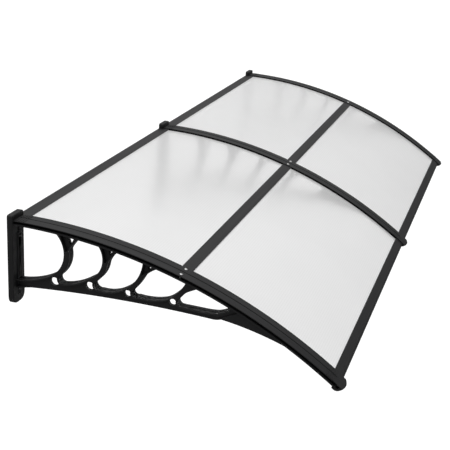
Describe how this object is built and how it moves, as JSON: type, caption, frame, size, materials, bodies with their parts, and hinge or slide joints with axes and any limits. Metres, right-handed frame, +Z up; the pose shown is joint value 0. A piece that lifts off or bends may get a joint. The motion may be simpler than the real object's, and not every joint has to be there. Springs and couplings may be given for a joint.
{
  "type": "door canopy",
  "caption": "Wall-mounted door canopy: arched milky polycarbonate sheets clamped by black bars and cover strips on openwork cantilever brackets.",
  "frame": {"origin": "on the wall plane, at the middle of the back face of the middle bracket's wall plate", "axes": "+X runs along the wall from the left bracket to the right one as seen by someone who faces the wall, +Y points into the wall, and +Z is up, so the roof reaches out towards -Y"},
  "size_m": [2, 0.8003, 0.2917],
  "materials": {
    "moulded_black_plastic": "fine moulded grain, satin black",
    "strip_black_plastic": "smooth satin charcoal black",
    "bar_black_plastic": "smooth extruded satin charcoal black",
    "milky_polycarbonate": "smooth, milky and translucent, with fine inner ribs",
    "zinc_plate": "bright zinc plate"
  },
  "bodies": {
    "root": {"bracket_left": "moulded_black_plastic", "bracket_middle": "moulded_black_plastic", "bracket_right": "moulded_black_plastic", "cover_strip_left": "strip_black_plastic", "cover_strip_middle": "strip_black_plastic", "cover_strip_right": "strip_black_plastic", "wall_bar_left": "bar_black_plastic", "wall_bar_right": "bar_black_plastic", "joining_bar_left": "bar_black_plastic", "joining_bar_right": "bar_black_plastic", "front_bar_left": "bar_black_plastic", "front_bar_right": "bar_black_plastic", "rear_sheet_left": "milky_polycarbonate", "rear_sheet_right": "milky_polycarbonate", "front_sheet_left": "milky_polycarbonate", "front_sheet_right": "milky_polycarbonate", "strip_screw_left_a": "zinc_plate", "strip_screw_left_b": "zinc_plate", "strip_screw_middle_a": "zinc_plate", "strip_screw_middle_b": "zinc_plate", "strip_screw_right_a": "zinc_plate", "strip_screw_right_b": "zinc_plate"}
  },
  "joints": []
}
